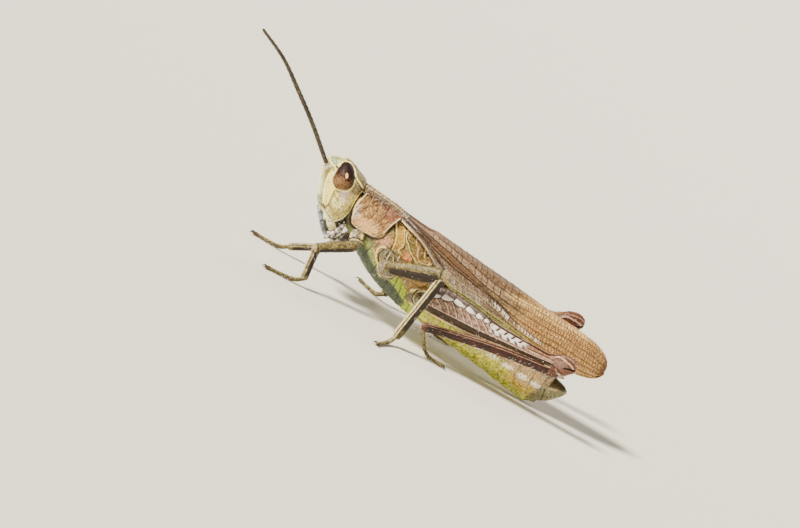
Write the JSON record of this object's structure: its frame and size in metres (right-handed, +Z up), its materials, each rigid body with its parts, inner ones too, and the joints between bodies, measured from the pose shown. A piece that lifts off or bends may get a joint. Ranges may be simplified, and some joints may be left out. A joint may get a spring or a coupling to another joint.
{
  "type": "grasshopper",
  "caption": "Life-size male field grasshopper at rest, body tilted slightly head-up, hind legs folded, wings closed and feelers swept forward.",
  "frame": {"origin": "centre of the model's outline on the floor it stands on", "axes": "+Z up from the floor; the head points to -X, the tail to +X and the insect's left side faces -Y"},
  "size_m": [0.0276, 0.0114, 0.012],
  "materials": {
    "head_shell": "waxy insect cuticle, cream to yellow-green, with fine brown network mottling",
    "eye": "glossy facetted compound eye, dark purple-brown above and orange-brown below",
    "antenna": "fine ringed feeler, grey-brown, warmer towards the tip",
    "mouthparts": "pale bluish-grey upper lip, cream jaws, feelers mottled white and black",
    "pronotum_shell": "pitted cuticle, orange-brown sides, olive-brown back, cream keel and lower rim",
    "thorax_shell": "ridged plates, yellow-brown with cream ridges, green beneath",
    "abdomen_shell": "smooth ringed cuticle, yellow-green with white shiny patches, grey-olive tip",
    "tegmen_membrane": "leathery wing with a raised network of veins, rufous near the base and golden tan at the tip",
    "hind_femur_shell": "herringbone-ridged cuticle, silvery pink above and olive-brown below, reddish knee",
    "hind_shin": "dark red-brown spined shin",
    "slender_leg": "greenish-grey to olive cuticle with cream ridges"
  },
  "bodies": {
    "root": {"abdomen": "abdomen_shell", "antenna_left": "antenna", "antenna_right": "antenna", "eye_left": "eye", "eye_right": "eye", "fore_coxa_left": "thorax_shell", "fore_coxa_right": "thorax_shell", "fore_femur_left": "slender_leg", "fore_femur_right": "slender_leg", "fore_tarsus_left": "slender_leg", "fore_tarsus_right": "slender_leg", "fore_tibia_left": "slender_leg", "fore_tibia_right": "slender_leg", "genital_plate": "abdomen_shell", "head": "head_shell", "hind_coxa_left": "thorax_shell", "hind_coxa_right": "thorax_shell", "hind_femur_left": "hind_femur_shell", "hind_femur_right": "hind_femur_shell", "hind_tarsus_left": "slender_leg", "hind_tarsus_right": "slender_leg", "hind_tibia_left": "hind_shin", "hind_tibia_right": "hind_shin", "labium": "mouthparts", "labrum": "mouthparts", "mandible_left": "mouthparts", "mandible_right": "mouthparts", "mid_coxa_left": "thorax_shell", "mid_coxa_right": "thorax_shell", "mid_femur_left": "slender_leg", "mid_femur_right": "slender_leg", "mid_tarsus_left": "slender_leg", "mid_tarsus_right": "slender_leg", "mid_tibia_left": "slender_leg", "mid_tibia_right": "slender_leg", "palp_left": "mouthparts", "palp_right": "mouthparts", "pronotum": "pronotum_shell", "tegmen_left": "tegmen_membrane", "tegmen_right": "tegmen_membrane", "thorax": "thorax_shell"}
  },
  "joints": []
}
